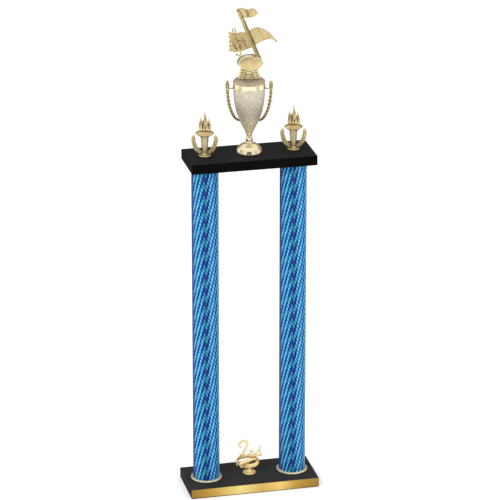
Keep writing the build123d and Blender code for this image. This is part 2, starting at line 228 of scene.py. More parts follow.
def piece(name, shapes, matrix, body, material, replaced, sharp=35):
    """Joins shapes into one object in the row frame that rides on a body and stands for CAD nodes."""
    mesh = bpy.data.meshes.new(name)
    points, faces = [], []
    for shape_points, shape_faces in shapes:
        start = len(points)
        points += [matrix @ p for p in shape_points]
        faces += [tuple(start + i for i in f) for f in shape_faces]
    mesh.from_pydata([tuple(p) for p in points], [], faces)
    cleaner = bmesh.new()
    cleaner.from_mesh(mesh)
    bmesh.ops.recalc_face_normals(cleaner, faces=cleaner.faces)
    cleaner.to_mesh(mesh)
    cleaner.free()
    made = new_object(name, mesh)
    mesh.materials.append(material)
    mesh.shade_smooth()
    mesh.set_sharp_from_angle(angle=math.radians(sharp))
    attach(made, body)
    if replaced:
        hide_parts(*replaced)
    return made


# ---- materials ----


class Nodes:
    """Small helper that adds shader nodes and links them."""

    def __init__(self, name):
        self.material = bpy.data.materials.new(name)
        self.material.use_nodes = True
        self.tree = self.material.node_tree
        self.shader = self.tree.nodes["Principled BSDF"]

    def add(self, kind, **settings):
        node = self.tree.nodes.new(kind)
        for key, value in settings.items():
            setattr(node, key, value)
        return node

    def link(self, source, target):
        self.tree.links.new(source, target)

    def feed(self, socket, value):
        if isinstance(value, (int, float)):
            socket.default_value = value
        else:
            self.link(value, socket)

    def math(self, operation, a, b=0.0, clamp=False):
        node = self.add("ShaderNodeMath", operation=operation, use_clamp=clamp)
        self.feed(node.inputs[0], a)
        self.feed(node.inputs[1], b)
        return node.outputs[0]

    def position(self, scale=(1, 1, 1)):
        coordinates = self.add("ShaderNodeTexCoord")
        mapping = self.add("ShaderNodeMapping")
        mapping.inputs["Scale"].default_value = scale
        self.link(coordinates.outputs["Object"], mapping.inputs["Vector"])
        return mapping.outputs[0]

    def noise(self, vector, scale, detail, roughness=0.5):
        node = self.add("ShaderNodeTexNoise")
        node.inputs["Scale"].default_value = scale
        node.inputs["Detail"].default_value = detail
        node.inputs["Roughness"].default_value = roughness
        self.link(vector, node.inputs["Vector"])
        return node.outputs["Fac"]

    def ramp(self, value, stops):
        node = self.add("ShaderNodeValToRGB")
        elements = node.color_ramp.elements
        elements[0].position, elements[0].color = stops[0][0], (*stops[0][1], 1)
        elements[1].position, elements[1].color = stops[-1][0], (*stops[-1][1], 1)
        for at, color in stops[1:-1]:
            elements.new(at).color = (*color, 1)
        self.link(value, node.inputs["Fac"])
        return node.outputs["Color"]

    def span(self, value, low, high):
        """Maps a 0..1 value to low..high."""
        node = self.add("ShaderNodeMapRange")
        self.link(value, node.inputs["Value"])
        node.inputs["To Min"].default_value = low
        node.inputs["To Max"].default_value = high
        return node.outputs["Result"]

    def mix(self, factor, a, b, blend="MIX"):
        node = self.add("ShaderNodeMix", data_type="RGBA", blend_type=blend)
        self.feed(node.inputs["Factor"], factor)
        for socket, value in ((node.inputs["A"], a), (node.inputs["B"], b)):
            if isinstance(value, tuple):
                socket.default_value = (*value, 1)
            else:
                self.link(value, socket)
        return node.outputs["Result"]

    def along(self, axis, start, end):
        """0..1 along a world axis of the rest pose, between two places in metres."""
        split = self.add("ShaderNodeSeparateXYZ")
        self.link(self.position(), split.inputs[0])
        node = self.add("ShaderNodeMapRange")
        node.inputs["From Min"].default_value = start
        node.inputs["From Max"].default_value = end
        self.link(split.outputs[axis], node.inputs["Value"])
        return node.outputs["Result"]

    def bump(self, height, strength, distance):
        node = self.add("ShaderNodeBump")
        node.inputs["Strength"].default_value = strength
        node.inputs["Distance"].default_value = distance
        self.link(height, node.inputs["Height"])
        self.drive("Normal", node.outputs["Normal"])

    def set(self, name, value):
        """Gives a shader input one value."""
        self.shader.inputs[name].default_value = value

    def drive(self, name, source):
        """Feeds a shader input from a node."""
        self.link(source, self.shader.inputs[name])


# Painted shade: the colour inside a crevice, as shares of the dark tone.
CREVICE_SHADE_SHARES = (0.16, 0.12, 0.08)  # of the dark tone's red, green and blue, inside a crevice


def metal(name, light, dark, roughness, grain_scale, grain_depth, metallic=1.0, reach=5):
    """Metallised plastic: tint varies softly, recesses get a painted shade, and grain raises a fine bump.

    reach is how far the painted shade of a recess spreads and grain_depth the bump's height.
    """
    m = Nodes(name)
    place = m.position()
    patches = m.noise(place, 90, 4)
    grain = m.noise(place, grain_scale, 2)
    # Painted shade: ambient occlusion darkens the colour in recesses and where parts of one piece come
    # close.
    crevice = m.add("ShaderNodeAmbientOcclusion", samples=6, only_local=True)
    crevice.inputs["Distance"].default_value = reach * MM
    tint = m.ramp(patches, [(0.3, dark), (0.62, light)])
    shade = tuple(tone * part for tone, part in zip(dark, CREVICE_SHADE_SHARES))
    openness = m.ramp(crevice.outputs["AO"], [(0.40, (0.0, 0.0, 0.0)), (0.92, (1.0, 1.0, 1.0))])
    m.drive("Base Color", m.mix(openness, shade, tint))
    m.drive("Roughness", m.span(grain, roughness[0], roughness[1]))
    m.set("Metallic", metallic)
    m.bump(grain, 0.6, grain_depth * MM)
    return m.material


def black_board(name, top):
    """Matt black lacquer with faint mottling and orange peel; painted light makes the top face greyer than
    the deep black edges.
    """
    m = Nodes(name)
    place = m.position()
    cloud = m.noise(place, 38, 5, 0.6)
    speck = m.noise(place, 900, 2)
    # Painted light: the more a face points up, the more it takes the lighter top tone instead of the deep
    # black of the edges.
    painted_top_light = m.add("ShaderNodeSeparateXYZ")
    m.link(m.add("ShaderNodeTexCoord").outputs["Normal"], painted_top_light.inputs[0])
    edge = m.ramp(cloud, [(0.3, (0.0012, 0.0012, 0.0013)), (0.7, (0.0022, 0.0022, 0.0023))])
    face = m.ramp(cloud, [(0.3, (top * 0.8,) * 3), (0.7, (top * 1.2,) * 3)])
    m.drive("Base Color", m.mix(painted_top_light.outputs["Z"], edge, face))
    m.drive("Roughness", m.span(cloud, 0.45, 0.6))
    m.set("Specular IOR Level", 0.03)
    m.bump(speck, 0.25, 0.05 * MM)
    return m.material


def gold_strip():
    """Brushed gold strip: long streaks along X, and broad light and dark bands across its length that are a
    painted reflection.
    """
    m = Nodes("gold_plate")
    m.set("Metallic", 1.0)
    streak = m.noise(m.position((6, 40, 1800)), 1.0, 3)
    low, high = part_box("front_trim_plate")
    # Painted reflection: light and dark bands along the strip's length.
    reflection_bands = m.ramp(
        m.along("X", low.x, high.x),
        [
            (0.0, (0.33, 0.18, 0.030)), (0.10, (0.44, 0.26, 0.045)), (0.20, (0.60, 0.37, 0.088)),
            (0.30, (0.76, 0.57, 0.18)), (0.38, (0.85, 0.71, 0.26)), (0.46, (0.78, 0.61, 0.20)),
            (0.55, (0.68, 0.45, 0.135)), (0.70, (0.88, 0.61, 0.18)), (0.80, (0.57, 0.35, 0.085)),
            (0.88, (0.42, 0.25, 0.048)), (1.0, (0.32, 0.19, 0.040)),
        ],
    )
    m.drive("Base Color", m.mix(m.span(streak, 0.0, 0.22), reflection_bands, (0.35, 0.22, 0.06)))
    m.drive("Roughness", m.span(streak, 0.30, 0.48))
    m.bump(streak, 0.15, 0.03 * MM)
    return m.material


FOIL_PITCH = 27.5  # height of one repeat of the foil's pattern
FOIL_PHASE = {"left": 0.0, "right": 0.45}  # how far up each column's wrap starts, in pitches
FOIL_STRINGS = 21  # slanted strings of dashes around a column
FOIL_BEADS = 4  # dashes of a string within one pitch
FOIL_REPEATS = 2  # times the zones below follow each other around a column
FOIL_CLIMB = 4.0  # pitches that the pale patches climb in one turn
ABOVE_ZERO = 100.0  # whole repeats added so that a count is never negative

# Tones and strengths by zone around the tube, a painted reflection of the foil's shine: a deep blue
# edge, pale beads, a violet middle with a green streak, sky blue, navy beads and a pale edge.
FOIL_GROUND_SHEEN = [
    (0.0, (0.001, 0.014, 0.162)), (0.13, (0.002, 0.020, 0.172)), (0.20, (0.006, 0.043, 0.226)),
    (0.30, (0.012, 0.086, 0.314)), (0.40, (0.008, 0.068, 0.276)), (0.44, (0.019, 0.026, 0.207)),
    (0.47, (0.014, 0.063, 0.295)), (0.49, (0.003, 0.012, 0.098)), (0.54, (0.014, 0.026, 0.207)),
    (0.58, (0.010, 0.023, 0.197)), (0.63, (0.015, 0.091, 0.324)), (0.69, (0.012, 0.108, 0.364)),
    (0.76, (0.006, 0.045, 0.245)), (0.86, (0.012, 0.074, 0.295)), (1.0, (0.014, 0.057, 0.276)),
]
FOIL_LIGHT_SHEEN = [
    (0.0, (0.077, 0.306, 0.562)), (0.16, (0.154, 0.578, 0.665)), (0.36, (0.123, 0.561, 0.717)),
    (0.47, (0.061, 0.494, 0.734)), (0.56, (0.154, 0.561, 0.717)), (0.68, (0.123, 0.595, 0.734)),
    (0.84, (0.200, 0.680, 0.717)), (1.0, (0.170, 0.561, 0.700)),
]
FOIL_NAVY_SHEEN = [
    (0.0, (0.002, 0.020, 0.178)), (0.28, (0.004, 0.017, 0.173)), (0.42, (0.008, 0.007, 0.076)),
    (0.55, (0.009, 0.009, 0.102)), (0.75, (0.004, 0.013, 0.173)), (1.0, (0.006, 0.028, 0.217)),
]
PALE_SHEEN_SHARE = [
    (0.0, 0.1), (0.15, 0.15), (0.22, 1), (0.42, 0.95), (0.47, 0.4), (0.56, 0.4), (0.62, 0.95),
    (0.72, 0.9), (0.77, 0.45), (0.82, 0.5), (0.88, 1), (1.0, 0.9),
]
NAVY_SHEEN_SHARE = [
    (0.0, 0.2), (0.15, 0.25), (0.22, 0.9), (0.56, 1), (0.62, 0.6), (0.71, 0.6), (0.76, 1),
    (0.84, 1), (0.90, 0.7), (1.0, 0.6),
]
# Painted highlight: tones of the green streak over one pitch.
HIGHLIGHT_STREAK_TONES = [(0.15, (0.003, 0.015, 0.10)), (0.55, (0.0, 0.10, 0.10)), (0.85, (0.0, 0.24, 0.09))]


def foil_dashes(m, string, step, middle, shift, lit):
    """Soft dashes along the strings: their middle across a string, shift and lit share of length."""
    off = m.math("ABSOLUTE", m.math("SUBTRACT", string, middle))
    lane = m.math("MULTIPLY", m.math("SUBTRACT", 0.24, off), 12.0, clamp=True)
    wave = m.math("PINGPONG", m.math("ADD", step, shift), 0.5)
    dash = m.math("MULTIPLY", m.math("SUBTRACT", wave, 0.5 - lit / 2), 9.0, clamp=True)
    return m.math("MULTIPLY", lane, dash)


def foil_highlight_streak(m, turn, up, pattern):
    """Lays a thin green painted highlight over the middle zone; it wanders and pulses once in each pitch.
    """
    wander = m.math("MULTIPLY", m.math("SINE", m.math("MULTIPLY", up, 2 * math.pi)), 0.006)
    off = m.math("ABSOLUTE", m.math("SUBTRACT", m.math("ADD", turn, wander), 0.502))
    streak = m.math("MULTIPLY", m.math("SUBTRACT", 0.020, off), 90.0, clamp=True)
    pulse = m.math("MULTIPLY", m.math("PINGPONG", up, 0.5), 2.0)
    return m.mix(m.math("MULTIPLY", streak, 0.9), pattern, m.ramp(pulse, HIGHLIGHT_STREAK_TONES))


def foil():
    """Blue holographic foil from the tube's UV map: u turns once around, v counts pitches; its tones by
    zone around the tube are a painted reflection.
    """
    m = Nodes("holographic_foil")
    split = m.add("ShaderNodeSeparateXYZ")
    m.link(m.add("ShaderNodeUVMap", uv_map="wrap").outputs[0], split.inputs[0])
    around, up = split.outputs["X"], split.outputs["Y"]
    turn = m.math("FRACT", m.math("MULTIPLY", around, FOIL_REPEATS))
    slant = m.math("SUBTRACT", m.math("MULTIPLY", around, FOIL_STRINGS), up)
    string = m.math("FRACT", m.math("ADD", slant, ABOVE_ZERO))
    step = m.math("ADD", m.math("MULTIPLY", up, FOIL_BEADS), m.math("MULTIPLY", string, 1.3))
    # Painted reflection: the ground, dash tones and dash strengths change by zone around the tube.
    pale = m.ramp(turn, [(at, (share,) * 3) for at, share in PALE_SHEEN_SHARE])
    deep = m.ramp(turn, [(at, (share,) * 3) for at, share in NAVY_SHEEN_SHARE])
    ground, light, navy = (m.ramp(turn, tones) for tones in (FOIL_GROUND_SHEEN, FOIL_LIGHT_SHEEN, FOIL_NAVY_SHEEN))
    # Pale patches climb around the tube, one in each pitch.
    climb = m.math("ADD", m.math("SUBTRACT", up, m.math("MULTIPLY", around, FOIL_CLIMB)), ABOVE_ZERO)
    patch = m.math("MULTIPLY", m.math("PINGPONG", climb, 0.5), 2.0)
    lit = m.math("MULTIPLY", m.math("SUBTRACT", patch, 0.45), 0.5, clamp=True)
    ground = m.mix(m.math("MULTIPLY", lit, pale), ground, light)
    bright = m.math("MULTIPLY", foil_dashes(m, string, step, 0.26, 0.0, 0.80), pale)
    dark = m.math("MULTIPLY", foil_dashes(m, string, step, 0.74, 0.45, 0.72), deep)
    pattern = m.mix(dark, m.mix(bright, ground, light), navy)
    m.drive("Base Color", foil_highlight_streak(m, turn, up, pattern))
    m.set("Metallic", 0.08)
    m.set("Specular IOR Level", 0.05)
    m.drive("Roughness", m.span(m.noise(m.position(), 260, 3), 0.34, 0.48))
    m.bump(bright, 0.12, 0.08 * MM)
    return m.material


def frosted(name, tones, low, high, pit_scale):
    """Frosted champagne plating: tone changes with height, under a speckle of darker pits."""
    m = Nodes(name)
    m.set("Metallic", 0.5)
    place = m.position()
    speckle = m.noise(place, pit_scale, 2, 0.6)
    clouds = m.noise(place, 60, 3)
    # Tone by height; on the bowl this is painted light and reflection.
    tone = m.ramp(m.along("Z", low * MM, high * MM), tones)
    shade = m.mix(1.0, tone, (0.50, 0.47, 0.42), "MULTIPLY")
    worn = m.mix(m.span(clouds, 0.0, 0.5), tone, shade)
    pits = m.ramp(speckle, [(0.42, (1.0, 1.0, 1.0)), (0.54, (0.0, 0.0, 0.0))])
    m.drive("Base Color", m.mix(m.math("MULTIPLY", pits, 0.6), worn, shade))
    m.drive("Roughness", m.span(speckle, 0.36, 0.62))
    m.bump(speckle, 0.8, 0.3 * MM)
    return m.material


def zinc():
    """Zinc-plated steel with a faint spangle and fine turning marks."""
    m = Nodes("zinc_steel")
    m.set("Metallic", 1.0)
    spangle = m.noise(m.position(), 300, 4)
    marks = m.noise(m.position((20, 20, 2600)), 1.0, 2)
    tone = m.ramp(spangle, [(0.3, (0.42, 0.42, 0.40)), (0.7, (0.66, 0.66, 0.63))])
    m.drive("Base Color", tone)
    m.drive("Roughness", m.span(spangle, 0.25, 0.45))
    m.bump(marks, 0.3, 0.06 * MM)
    return m.material


# The second value is the painted light on each board's top face.
BASE_BLACK = black_board("base_black", 0.027)
DECK_BLACK = black_board("deck_black", 0.013)
STRIP = gold_strip()
FOIL = foil()
# Painted light and reflection: the bowl is lighter at its bottom and near its rim and darker across its
# middle.
BOWL_SHADING_TONES = [
    (0.0, (0.82, 0.67, 0.42)), (0.12, (0.80, 0.68, 0.45)), (0.24, (0.66, 0.57, 0.40)),
    (0.42, (0.44, 0.40, 0.30)), (0.60, (0.46, 0.42, 0.33)), (0.80, (0.62, 0.57, 0.47)),
    (1.0, (0.72, 0.66, 0.56)),
]
FROSTED = frosted("frosted_gold", BOWL_SHADING_TONES, DECK_TOP + 38.6, DECK_TOP + 126.4, 360)
LID_TONES = [(0.0, (0.60, 0.50, 0.38)), (1.0, (0.42, 0.34, 0.26))]
FROSTED_LID = frosted("frosted_lid", LID_TONES, DECK_TOP + 137, DECK_TOP + 144.4, 420)
POLISHED = metal("polished_gold", (0.86, 0.76, 0.53), (0.76, 0.64, 0.40), (0.10, 0.18), 500, 0.04, 0.85)
HANDLE_GOLD = metal("handle_gold", (0.60, 0.47, 0.23), (0.34, 0.25, 0.10), (0.14, 0.24), 650, 0.05, reach=2)
TORCH_GOLD = metal("torch_gold", (0.74, 0.60, 0.32), (0.58, 0.43, 0.19), (0.20, 0.32), 650, 0.08, 0.8)
PANEL_GOLD = metal("panel_gold", (0.60, 0.50, 0.31), (0.52, 0.43, 0.26), (0.40, 0.55), 900, 0.10, 0.6)
# Partly polish, partly a painted highlight: a paler copy of the figure's gold.
WALL_HIGHLIGHT_GOLD = metal("wall_highlight_gold", (0.98, 0.92, 0.68), (0.84, 0.70, 0.38), (0.12, 0.20), 600, 0.03, 0.85, 2)
FIGURE_GOLD = metal("figure_gold", (0.68, 0.545, 0.28), (0.55, 0.425, 0.20), (0.30, 0.45), 520, 0.30, 0.8)
TRIM_GOLD = metal("trim_gold", (0.94, 0.74, 0.35), (0.86, 0.61, 0.22), (0.22, 0.34), 600, 0.08, 0.6, 2.5)
CAP_GOLD = metal("cap_gold", (0.86, 0.76, 0.52), (0.70, 0.57, 0.33), (0.18, 0.30), 500, 0.05, 0.6)
PEDESTAL_GOLD = metal("pedestal_gold", (0.46, 0.39, 0.21), (0.32, 0.26, 0.12), (0.20, 0.30), 520, 0.10, 0.8)
# Partly polish, partly a painted highlight: a cream copy of the figure's gold.
SHELL_HIGHLIGHT_GOLD = metal("shell_highlight_gold", (0.97, 0.88, 0.60), (0.80, 0.62, 0.28), (0.14, 0.24), 500, 0.04, 0.7, 2)
# Painted shade: a dark copy of the figure's gold for the stem's right edge.
STEM_SHADE_GOLD = metal("stem_shade_gold", (0.26, 0.20, 0.09), (0.14, 0.11, 0.05), (0.30, 0.45), 520, 0.10, 0.6)
ZINC = zinc()


# ---- stand ----


def paint_cad(material, *nodes):
    """Gives CAD nodes that keep their own shape a material."""
    for node in nodes:
        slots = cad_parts[node].data.materials
        slots.clear()
        slots.append(material)


def column_tube(side):
    """Foil-covered tube with the wrap's UV map: once around, and one unit of height per pitch."""
    node = f"{side}_column_tube"
    inner = COLUMN_RADIUS - TUBE_WALL
    outline = [
        (inner, 0.3), (inner + 0.3, 0), (COLUMN_RADIUS - 0.3, 0), (COLUMN_RADIUS, 0.3),
        (COLUMN_RADIUS, COLUMN_HEIGHT - 0.3), (COLUMN_RADIUS - 0.3, COLUMN_HEIGHT),
        (inner + 0.3, COLUMN_HEIGHT), (inner, COLUMN_HEIGHT - 0.3),
    ]
    place = facing(axis_x(node), TUBE_LOW.z / MM, 0)
    shapes = [lathe(outline, 144)]
    made = piece(f"{side}_tube_skin", shapes, place, "stand", FOIL, [node])
    mesh = made.data
    wrap = mesh.uv_layers.new(name="wrap")
    centre = axis_x(node) * MM
    for face in mesh.polygons:
        spots = [mesh.vertices[mesh.loops[loop].vertex_index].co for loop in face.loop_indices]
        turns = []
        for spot in spots:
            turn = math.atan2(spot.y, spot.x - centre) - FACING_TURN
            turns.append((turn / (2 * math.pi) + 0.5) % 1.0)
        if max(turns) - min(turns) > 0.5:
            turns = [t + 1 if t < 0.5 else t for t in turns]
        for loop, turn, spot in zip(face.loop_indices, turns, spots):
            wrap.data[loop].uv = (turn, spot.z / MM / FOIL_PITCH + FOIL_PHASE[side])


def column_cap(node, up):
    """Dished ring with a rounded rim, a groove, a raised land and a spigot; up is 1 or -1."""
    low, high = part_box(node)
    base = low.z / MM if up > 0 else high.z / MM
    outline = [
        (ROD_RADIUS, 0), (28.4, 0), (29.5, 0.4), (30.0, 1.3), (29.6, 2.4), (28.6, 3.0), (27.8, 2.7),
        (27.0, 2.2), (26.0, 2.4), (25.4, 3.0), (22.6, 3.0), (22.6, 10.4), (22.0, 11.0),
        (ROD_RADIUS, 11.0),
    ]
    ring = [moved(lathe(outline, 128), Matrix.Scale(up, 4, (0, 0, 1)))]
    place = facing(axis_x(node), base, 0)
    piece(f"{node}_ring", ring, place, "stand", CAP_GOLD, [node], sharp=50)


paint_cad(BASE_BLACK, "base_board")
paint_cad(DECK_BLACK, "deck_board")
paint_cad(STRIP, "front_trim_plate")
paint_cad(ZINC, "left_tie_rod", "right_tie_rod", "tie_rod_nuts", "tie_rod_washers")
paint_cad(ZINC, "cup_rod", "cup_rod_nut", "cup_rod_washer", "place_trim_bolt", "place_trim_washer")
paint_cad(ZINC, "figure_insert", "torch_left_insert", "torch_right_insert", "place_trim_insert")
for side in ("left", "right"):
    column_tube(side)
    column_cap(f"{side}_lower_column_cap", 1)
    column_cap(f"{side}_upper_column_cap", -1)


# ---- cup ----

CUP = facing(0, DECK_TOP)


def cup_piece(name, shapes, material, node, sharp):
    """One piece of the cup, in the cup's own millimetres."""
    piece(name, shapes, CUP, "cup", material, [node], sharp=sharp)


def cup_foot():
    """Bell-shaped foot with a thin rolled rim and one ridge ring."""
    outline = [
        (ROD_RADIUS, 0), (22.9, 0), (23.5, 0.5), (24.1, 1.4), (24.5, 2.2), (24.35, 3.2),
        (23.9, 5.0), (23.4, 6.8), (22.9, 8.4), (22.3, 9.6), (21.4, 10.6), (19.8, 12.7),
        (17.4, 14.8), (14.2, 16.8), (11.0, 18.1), (8.8, 18.6), (ROD_RADIUS, 18.9),
    ]
    cup_piece("cup_foot_dome", [lathe(outline, 160)], POLISHED, "cup_foot", 60)


def cup_stem():
    """Stem with a collar, a rounded knop and a ring under the bowl."""
    outline = [
        (ROD_RADIUS, 18.9), (7.4, 18.9), (7.8, 19.4), (7.9, 20.4), (7.6, 21.3), (6.6, 21.8),
        (6.3, 22.3), (6.3, 23.2), (6.6, 24.6), (6.8, 26.4), (6.8, 28.4), (6.5, 30.2), (5.9, 31.8),
        (5.3, 33.2), (5.2, 34.4), (5.6, 35.2), (6.4, 35.7), (6.8, 36.4), (6.7, 37.3), (6.2, 37.8),
        (6.4, 38.2), (6.4, 38.6), (ROD_RADIUS, 38.6),
    ]
    cup_piece("cup_stem_knop", [lathe(outline, 96)], POLISHED, "cup_stem", 60)


BOWL_WALL = 1.9


def cup_bowl():
    """Hollow frosted bowl."""
    side = [(6.5, 38.6), (11.4, 48.7), (17.5, 61.0), (24.5, 82.2), (28.3, 104.5), (29.6, 126.2)]
    outer = [(p.x, p.y) for p in smooth_path(side, 60)]
    rim = [(28.8, 126.6), (28.8, 136.8), (28.4, 137), (27.4, 137)]
    inner = [(r - BOWL_WALL, h) for r, h in reversed(outer) if h > 43.5]
    outline = outer + rim + inner + [(6.0, 42.5), (ROD_RADIUS, 42.5), (ROD_RADIUS, 38.6)]
    cup_piece("cup_bowl_shell", [lathe(outline, 160)], FROSTED, "cup_bowl", 50)


def cup_band():
    """Polished rim band with a fine bead at its top and bottom edges."""
    outline = [
        (29.1, 126.4), (29.7, 126.4), (30.0, 126.8), (30.0, 127.4), (29.75, 127.7), (29.7, 128.2),
        (29.75, 135.2), (29.8, 135.7), (30.0, 136.0), (30.0, 136.6), (29.7, 137), (29.1, 137),
    ]
    cup_piece("cup_band_ring", [lathe(outline, 160)], POLISHED, "cup_rim_band", 60)


def cup_lid():
    """Low frosted lid with a scalloped edge and a flat seat for the figure."""

    def scallop(angle, r, h):
        petals, depth, edge = 15, 1.6, 29.2
        return r - (depth / 2 * (1 + math.cos(petals * angle)) if r > edge else 0), h

    outline = [
        (ROD_RADIUS, 141.4), (20.0, 141.4), (24.7, 138.0), (25.1, 134.7), (25.3, 134.5),
        (26.9, 134.5), (27.1, 134.7), (27.1, 137), (30.0, 137), (30.4, 137.4), (30.4, 138.8),
        (30.0, 139.4), (29.3, 139.8), (28.4, 140.2), (27.2, 141.2), (25.6, 142.6), (23.6, 143.6),
        (22.0, 144.2), (21.2, 144.4), (ROD_RADIUS, 144.4),
    ]
    shape = lathe(outline, 220, scallop)
    cup_piece("cup_lid_cover", [shape], FROSTED_LID, "cup_lid", 50)


HANDLE_FOOT = (16.6, 62.3)
HANDLE_TOP = (40.1, 124.5)


def handle_path(side, samples):
    """Quarter ellipse from the bowl up to the bracket, in the facing plane."""
    points = []
    for k in range(samples + 1):
        angle = math.pi / 2 * k / samples
        right = HANDLE_FOOT[0] + (HANDLE_TOP[0] - HANDLE_FOOT[0]) * math.sin(angle)
        up = HANDLE_TOP[1] - (HANDLE_TOP[1] - HANDLE_FOOT[1]) * math.cos(angle)
        points.append(Vector((side * right, 0, up)))
    return points


def handle_crest(side):
    """Three tiers of small leaves around the top of a handle, and a bud above them."""
    right, top = side * HANDLE_TOP[0], HANDLE_TOP[1]
    shapes = []
    for tier, (height, reach, long) in enumerate(((-3.5, 3.0, 9), (1.5, 3.4, 8.5), (6.5, 2.6, 7.5))):
        for fan in (-1, 0, 1):
            for face in (-1, 1):
                root = (right + fan * 0.6, face * 0.5, top + height)
                rise = long * (0.8 if fan else 1)
                tip = (right + fan * reach, face * (1.9 - 0.3 * tier), top + height + rise)
                shapes.append(leaf(root, tip, 3.4, 1.4, (0, face, 0)))
    shapes.append(leaf((right, 0, top + 8), (right, 0, top + 17), 3.0, 2.4))
    shapes.append(ball((right, 0, top - 1), (2.5, 2.3, 3.2)))
    return shapes


def cup_handle(side, name):
    """Rope-twisted wire handle with a leafy crest and a turned bracket pin."""
    strands, turns = 2, 12

    def rope(t, angle):
        return 1 + 0.42 * math.cos(strands * angle + side * 2 * math.pi * turns * t)

    def taper(t):
        return 1.7 + 0.75 * min(1, t * 4)

    def ring(t, middle):
        """A small turned ring on the pin."""
        return math.exp(-(((t - middle) / 0.1) ** 2))

    def pin_radius(t):
        return 1.05 + 0.75 * ring(t, 0.12) + 0.5 * ring(t, 0.85)

    right, top = HANDLE_TOP
    pin = [Vector((side * (29.8 + (right - 31) * k / 20), 0, top)) for k in range(21)]
    shapes = [tube(handle_path(side, 260), taper, sides=24, wobble=rope)]
    shapes += handle_crest(side)
    shapes.append(tube(pin, pin_radius, sides=16))
    node = f"cup_handle_{'left' if side < 0 else 'right'}"
    cup_piece(name, shapes, HANDLE_GOLD, node, 40)


cup_foot()
cup_stem()
cup_bowl()
cup_band()
cup_lid()
cup_handle(-1, "handle_wire_left")
cup_handle(1, "handle_wire_right")


# ---- torches ----


def torch_body():
    """Round foot and tapered body with a rail down each side."""
    outline = [
        (ROD_RADIUS, 0), (10.9, 0), (11.4, 0.5), (11.4, 1.8), (10.8, 2.6), (9.4, 2.9), (6.6, 3.1),
        (5.4, 3.9), (4.5, 5.2), (4.2, 7.0), (4.3, 9.0), (4.6, 14.0), (5.4, 24.0), (6.2, 33.0),
        (6.8, 38.2), (8.6, 39.4), (ROD_RADIUS, 39.4),
    ]
    shapes = [lathe(outline, 96)]
    for side in (-1, 1):
        rail = [Vector((side * (4.1 + 0.080 * (up - 8)), 0, up)) for up in range(8, 40)]
        shapes.append(tube(rail, lambda t: 1.15 + 0.25 * t, sides=14, flat=3.2))
    return shapes


def torch_panels():
    """Frosted front and back panels of the torch body."""
    shapes = []
    for face in (-1, 1):
        points, faces = [], []
        for up, half, back in ((8.0, 2.8, 4.0), (9.0, 3.0, 5.1), (37.0, 5.0, 7.4), (38.6, 4.9, 6.6)):
            for right in (-half, half):
                points.append(Vector((right, face * back, up)))
        points += [Vector((p.x, 0, p.z)) for p in points]
        for k in range(3):
            a = 2 * k
            faces.append((a, a + 1, a + 3, a + 2))
            faces.append((a + 8, a + 10, a + 11, a + 9))
            faces.append((a, a + 2, a + 10, a + 8))
            faces.append((a + 1, a + 9, a + 11, a + 3))
        faces.append((0, 8, 9, 1))
        faces.append((6, 7, 15, 14))
        shapes.append((points, faces))
    return shapes


def torch_dish():
    """Lens-shaped dish with twelve facets, a sharp rim and a low dome that carries the flame."""

    def scallop(angle, r, h):
        if r < 9.5:
            return r, h
        wedge = (angle + math.pi / 12) % (math.pi / 6) - math.pi / 12
        return r * (0.985 * math.cos(math.pi / 12) / math.cos(wedge) + 0.03), h

    outline = [
        (0, 37.8), (8.6, 37.9), (9.4, 38.6), (10.6, 39.4), (14.4, 41.4), (16.9, 43.2), (17.5, 44.1),
        (17.0, 44.8), (14.6, 45.6), (12.0, 46.4), (11.2, 46.9), (10.6, 48.0), (8.6, 49.2), (0, 50),
    ]
    return lathe(outline, 96, scallop)


def torch_flame():
    """Flame of thick curved tongues around a tall central one."""
    tongues = [
        ((0.4, -1.0, 46.6), (1.6, -1.2, 66), (-0.4, 0, 87.4), 4.2),
        ((-3.8, -3.2, 46.6), (-5.8, -3.4, 57), (-3.6, -2.2, 73), 2.8),
        ((3.2, -3.8, 46.6), (4.0, -4.6, 57), (2.4, -2.4, 70), 2.6),
        ((-7.0, -0.8, 46.6), (-8.8, -0.6, 56), (-9.8, 0, 66), 2.4),
        ((-4.6, 2.0, 46.6), (-7.4, 1.8, 62), (-7.6, 0.6, 77.5), 3.0),
        ((6.6, -0.4, 46.6), (9.0, 0, 58), (7.6, 0.2, 74.5), 3.4),
        ((2.8, 4.4, 46.6), (3.8, 6.0, 60), (3.0, 3.4, 73), 3.0),
        ((-2.0, 4.6, 46.6), (-2.6, 6.4, 58), (-1.6, 3.6, 70), 2.8),
        ((-0.4, -5.2, 46.6), (-1.0, -6.4, 55), (-1.6, -4.6, 64), 2.0),
        ((6.2, -3.8, 46.6), (8.0, -4.0, 54), (8.0, -2.4, 62), 2.1),
    ]
    shapes = []
    for root, middle, tip, width in tongues:
        path = smooth_path([root, middle, tip], 26)

        def half_width(t, width=width):
            belly = 0.8 + 0.4 * math.sin(math.pi * min(1, t * 1.25))
            return max(0.3, width * belly * (1 - t ** 2.4) ** 0.85)

        shapes.append(tube(path, half_width, sides=14, flat=0.8))
    return shapes


